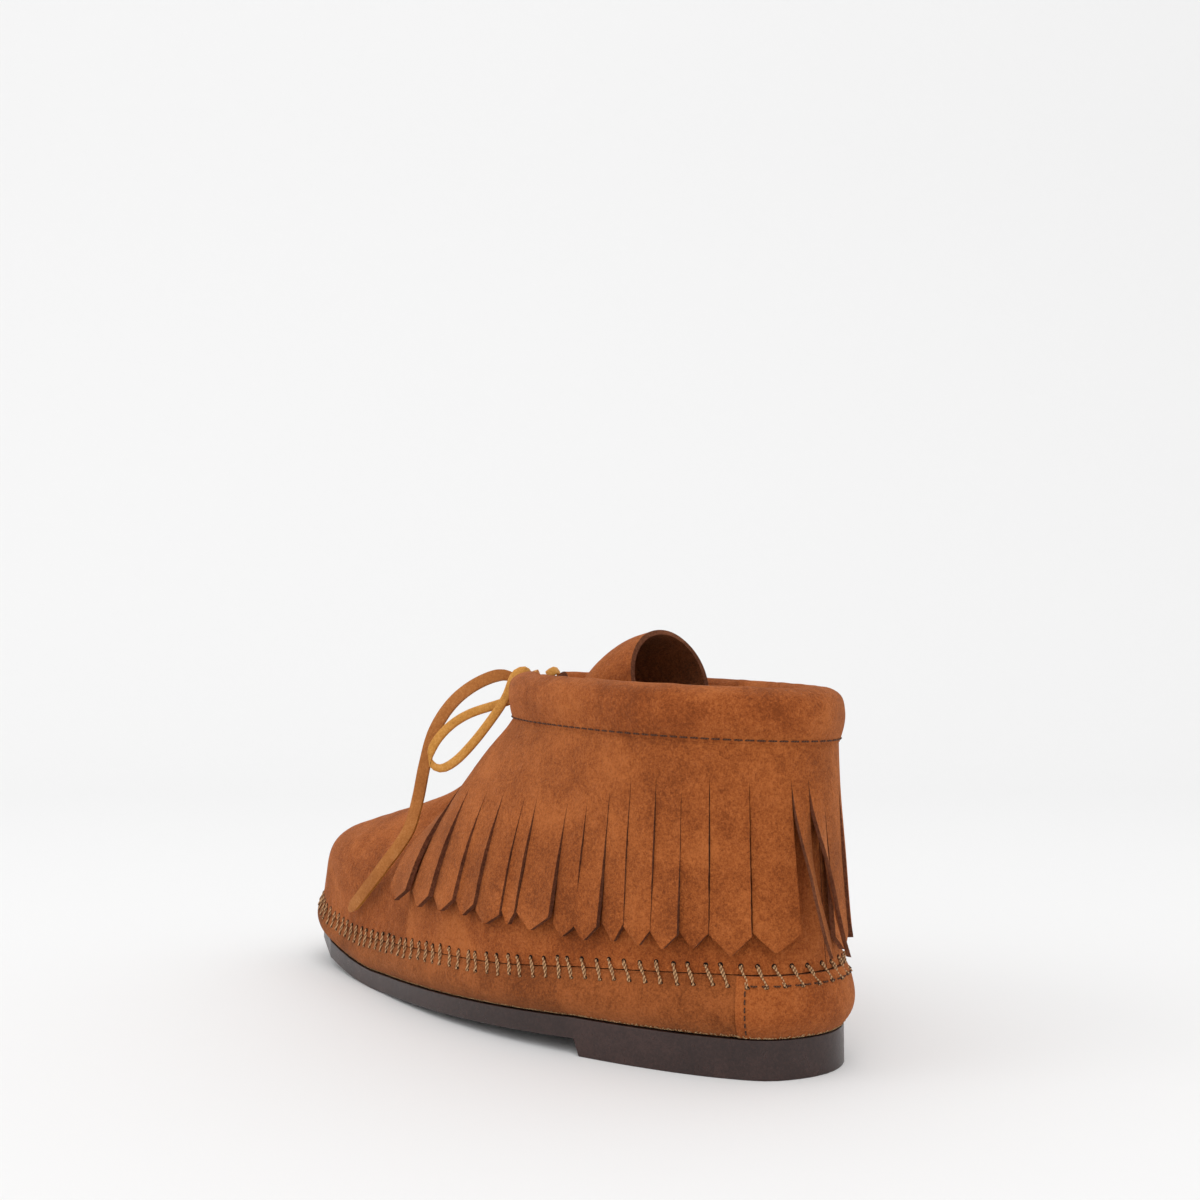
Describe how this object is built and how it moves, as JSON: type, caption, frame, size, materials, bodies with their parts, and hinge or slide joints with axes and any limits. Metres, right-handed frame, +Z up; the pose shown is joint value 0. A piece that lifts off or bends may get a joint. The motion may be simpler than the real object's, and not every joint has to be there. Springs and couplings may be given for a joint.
{
  "type": "fringed ankle moccasin",
  "caption": "Left ankle-high suede moccasin with hanging cut fringe, rolled lace-through collar, whip-stitched seam, arched tongue, rawhide bow and a low-heeled rubber sole.",
  "frame": {"origin": "middle of the shoe's bounding box without the loose lace, on the ground under the sole", "axes": "+X to the toe, +Y to the outside of the foot, +Z up"},
  "size_m": [0.2668, 0.0982, 0.1319],
  "materials": {
    "suede": "matte rust-tan suede, nap outside",
    "suede_wrap": "matte rust-tan suede, slightly darker",
    "rubber": "dark brown, low sheen",
    "board": "pressed fibre board",
    "lining": "smooth unfinished leather",
    "rawhide": "golden tan, smooth face and rough flesh side",
    "thread": "twisted beige waxed thread",
    "dark_thread": "fine dark brown thread"
  },
  "bodies": {
    "shoe": {"outsole": "rubber", "bottom_filler": "board", "insole_board": "board", "sock_liner": "lining", "lower_wrap": "suede_wrap", "heel_patch": "suede", "quarter_lateral": "suede", "quarter_medial": "suede", "vamp_plug": "suede", "fringe_band": "suede", "collar_roll": "suede", "lace_in_collar": "rawhide", "lace_knot": "rawhide", "lace_loop_lateral": "rawhide", "lace_end_lateral": "rawhide", "lace_loop_medial": "rawhide", "lace_end_medial": "rawhide", "whip_thread": "thread", "collar_thread": "dark_thread"},
    "tongue": {"tongue": "suede"},
    "fringe_rear_1": {"fringe_rear_1": "suede"},
    "fringe_rear_2": {"fringe_rear_2": "suede"},
    "fringe_lateral_1": {"fringe_lateral_1": "suede"},
    "fringe_lateral_2": {"fringe_lateral_2": "suede"},
    "fringe_lateral_3": {"fringe_lateral_3": "suede"},
    "fringe_lateral_4": {"fringe_lateral_4": "suede"},
    "fringe_lateral_5": {"fringe_lateral_5": "suede"},
    "fringe_lateral_6": {"fringe_lateral_6": "suede"},
    "fringe_lateral_7": {"fringe_lateral_7": "suede"},
    "fringe_lateral_8": {"fringe_lateral_8": "suede"},
    "fringe_lateral_9": {"fringe_lateral_9": "suede"},
    "fringe_lateral_10": {"fringe_lateral_10": "suede"},
    "fringe_lateral_11": {"fringe_lateral_11": "suede"},
    "fringe_lateral_12": {"fringe_lateral_12": "suede"},
    "fringe_lateral_13": {"fringe_lateral_13": "suede"},
    "fringe_lateral_14": {"fringe_lateral_14": "suede"},
    "fringe_lateral_15": {"fringe_lateral_15": "suede"},
    "fringe_medial_1": {"fringe_medial_1": "suede"},
    "fringe_medial_2": {"fringe_medial_2": "suede"},
    "fringe_medial_3": {"fringe_medial_3": "suede"},
    "fringe_medial_4": {"fringe_medial_4": "suede"},
    "fringe_medial_5": {"fringe_medial_5": "suede"},
    "fringe_medial_6": {"fringe_medial_6": "suede"},
    "fringe_medial_7": {"fringe_medial_7": "suede"},
    "fringe_medial_8": {"fringe_medial_8": "suede"},
    "fringe_medial_9": {"fringe_medial_9": "suede"},
    "fringe_medial_10": {"fringe_medial_10": "suede"},
    "fringe_medial_11": {"fringe_medial_11": "suede"},
    "fringe_medial_12": {"fringe_medial_12": "suede"},
    "fringe_medial_13": {"fringe_medial_13": "suede"},
    "fringe_medial_14": {"fringe_medial_14": "suede"},
    "fringe_medial_15": {"fringe_medial_15": "suede"},
    "fringe_medial_16": {"fringe_medial_16": "suede"}
  },
  "joints": [
    {"name": "fringe_rear_1_swing", "type": "hinge", "parent": "shoe", "child": "fringe_rear_1", "pos_m": [-0.12962, 0.00048, 0.08602], "axis": [0.1165, 0.9932, 0.0044], "range_deg": [0, 30]},
    {"name": "fringe_rear_2_swing", "type": "hinge", "parent": "shoe", "child": "fringe_rear_2", "pos_m": [-0.12833, 0.00601, 0.08607], "axis": [0.3356, 0.9419, 0.0126], "range_deg": [0, 30]},
    {"name": "fringe_lateral_1_swing", "type": "hinge", "parent": "shoe", "child": "fringe_lateral_1", "pos_m": [-0.12351, 0.01348, 0.08621], "axis": [0.6285, 0.7776, 0.0172], "range_deg": [0, 30]},
    {"name": "fringe_lateral_2_swing", "type": "hinge", "parent": "shoe", "child": "fringe_lateral_2", "pos_m": [-0.11483, 0.0216, 0.08648], "axis": [0.822, 0.5689, 0.0274], "range_deg": [0, 30]},
    {"name": "fringe_lateral_3_swing", "type": "hinge", "parent": "shoe", "child": "fringe_lateral_3", "pos_m": [-0.10614, 0.02674, 0.08678], "axis": [0.9054, 0.4231, 0.0342], "range_deg": [0, 30]},
    {"name": "fringe_lateral_4_swing", "type": "hinge", "parent": "shoe", "child": "fringe_lateral_4", "pos_m": [-0.09822, 0.02989, 0.08709], "axis": [0.9482, 0.3155, 0.0376], "range_deg": [0, 30]},
    {"name": "fringe_lateral_5_swing", "type": "hinge", "parent": "shoe", "child": "fringe_lateral_5", "pos_m": [-0.08976, 0.03229, 0.08659], "axis": [0.9625, 0.2298, -0.1445], "range_deg": [0, 30]},
    {"name": "fringe_lateral_6_swing", "type": "hinge", "parent": "shoe", "child": "fringe_lateral_6", "pos_m": [-0.08144, 0.0341, 0.08423], "axis": [0.9037, 0.1732, -0.3916], "range_deg": [0, 30]},
    {"name": "fringe_lateral_7_swing", "type": "hinge", "parent": "shoe", "child": "fringe_lateral_7", "pos_m": [-0.073, 0.03549, 0.08051], "axis": [0.9051, 0.1285, -0.4053], "range_deg": [0, 30]},
    {"name": "fringe_lateral_8_swing", "type": "hinge", "parent": "shoe", "child": "fringe_lateral_8", "pos_m": [-0.06407, 0.03649, 0.07768], "axis": [0.981, 0.0789, -0.177], "range_deg": [0, 30]},
    {"name": "fringe_lateral_9_swing", "type": "hinge", "parent": "shoe", "child": "fringe_lateral_9", "pos_m": [-0.05228, 0.03692, 0.07723], "axis": [0.9989, 0.0106, 0.0462], "range_deg": [0, 30]},
    {"name": "fringe_lateral_10_swing", "type": "hinge", "parent": "shoe", "child": "fringe_lateral_10", "pos_m": [-0.04162, 0.03691, 0.07772], "axis": [0.9987, -0.027, 0.0443], "range_deg": [0, 30]},
    {"name": "fringe_lateral_11_swing", "type": "hinge", "parent": "shoe", "child": "fringe_lateral_11", "pos_m": [-0.03231, 0.03639, 0.07811], "axis": [0.9968, -0.0701, 0.0395], "range_deg": [0, 30]},
    {"name": "fringe_lateral_12_swing", "type": "hinge", "parent": "shoe", "child": "fringe_lateral_12", "pos_m": [-0.02089, 0.03529, 0.07853], "axis": [0.9915, -0.1255, 0.0333], "range_deg": [0, 30]},
    {"name": "fringe_lateral_13_swing", "type": "hinge", "parent": "shoe", "child": "fringe_lateral_13", "pos_m": [-0.00897, 0.03332, 0.07889], "axis": [0.9808, -0.1933, 0.0273], "range_deg": [0, 30]},
    {"name": "fringe_lateral_14_swing", "type": "hinge", "parent": "shoe", "child": "fringe_lateral_14", "pos_m": [0.00424, 0.02839, 0.07927], "axis": [0.8773, -0.4792, 0.0258], "range_deg": [0, 30]},
    {"name": "fringe_lateral_15_swing", "type": "hinge", "parent": "shoe", "child": "fringe_lateral_15", "pos_m": [0.01614, 0.01961, 0.07958], "axis": [0.714, -0.6999, 0.016], "range_deg": [0, 30]},
    {"name": "fringe_medial_1_swing", "type": "hinge", "parent": "shoe", "child": "fringe_medial_1", "pos_m": [-0.12864, -0.00763, 0.08603], "axis": [-0.2431, 0.97, -0.0049], "range_deg": [0, 30]},
    {"name": "fringe_medial_2_swing", "type": "hinge", "parent": "shoe", "child": "fringe_medial_2", "pos_m": [-0.12407, -0.01704, 0.08613], "axis": [-0.6168, 0.787, -0.013], "range_deg": [0, 30]},
    {"name": "fringe_medial_3_swing", "type": "hinge", "parent": "shoe", "child": "fringe_medial_3", "pos_m": [-0.1167, -0.02424, 0.08631], "axis": [-0.8036, 0.5948, -0.0222], "range_deg": [0, 30]},
    {"name": "fringe_medial_4_swing", "type": "hinge", "parent": "shoe", "child": "fringe_medial_4", "pos_m": [-0.10806, -0.02952, 0.08658], "axis": [-0.8964, 0.4421, -0.0305], "range_deg": [0, 30]},
    {"name": "fringe_medial_5_swing", "type": "hinge", "parent": "shoe", "child": "fringe_medial_5", "pos_m": [-0.09876, -0.03331, 0.08691], "axis": [-0.9501, 0.3099, -0.0355], "range_deg": [0, 30]},
    {"name": "fringe_medial_6_swing", "type": "hinge", "parent": "shoe", "child": "fringe_medial_6", "pos_m": [-0.08896, -0.03578, 0.08637], "axis": [-0.9741, 0.1779, 0.1396], "range_deg": [0, 30]},
    {"name": "fringe_medial_7_swing", "type": "hinge", "parent": "shoe", "child": "fringe_medial_7", "pos_m": [-0.07859, -0.03693, 0.0833], "axis": [-0.9151, 0.0387, 0.4013], "range_deg": [0, 30]},
    {"name": "fringe_medial_8_swing", "type": "hinge", "parent": "shoe", "child": "fringe_medial_8", "pos_m": [-0.06788, -0.03685, 0.07894], "axis": [-0.9346, -0.0521, 0.3518], "range_deg": [0, 30]},
    {"name": "fringe_medial_9_swing", "type": "hinge", "parent": "shoe", "child": "fringe_medial_9", "pos_m": [-0.05725, -0.03597, 0.07674], "axis": [-0.9933, -0.111, 0.0336], "range_deg": [0, 30]},
    {"name": "fringe_medial_10_swing", "type": "hinge", "parent": "shoe", "child": "fringe_medial_10", "pos_m": [-0.04681, -0.03444, 0.07675], "axis": [-0.9834, -0.1779, -0.0361], "range_deg": [0, 30]},
    {"name": "fringe_medial_11_swing", "type": "hinge", "parent": "shoe", "child": "fringe_medial_11", "pos_m": [-0.03652, -0.03235, 0.07718], "axis": [-0.9744, -0.2203, -0.0451], "range_deg": [0, 30]},
    {"name": "fringe_medial_12_swing", "type": "hinge", "parent": "shoe", "child": "fringe_medial_12", "pos_m": [-0.0262, -0.03, 0.07767], "axis": [-0.9735, -0.2236, -0.0476], "range_deg": [0, 30]},
    {"name": "fringe_medial_13_swing", "type": "hinge", "parent": "shoe", "child": "fringe_medial_13", "pos_m": [-0.01585, -0.02779, 0.07815], "axis": [-0.9772, -0.2077, -0.045], "range_deg": [0, 30]},
    {"name": "fringe_medial_14_swing", "type": "hinge", "parent": "shoe", "child": "fringe_medial_14", "pos_m": [-0.00561, -0.0262, 0.07853], "axis": [-0.9806, -0.1906, -0.045], "range_deg": [0, 30]},
    {"name": "fringe_medial_15_swing", "type": "hinge", "parent": "shoe", "child": "fringe_medial_15", "pos_m": [0.0047, -0.02613, 0.07874], "axis": [-0.9838, -0.1735, -0.045], "range_deg": [0, 30]},
    {"name": "fringe_medial_16_swing", "type": "hinge", "parent": "shoe", "child": "fringe_medial_16", "pos_m": [0.01554, -0.02538, 0.07926], "axis": [-0.9823, -0.1821, -0.045], "range_deg": [0, 30]},
    {"name": "tongue_fold", "type": "hinge", "parent": "shoe", "child": "tongue", "pos_m": [0.0154, 0, 0.09], "axis": [0, 1, 0], "range_deg": [0, 4]}
  ]
}
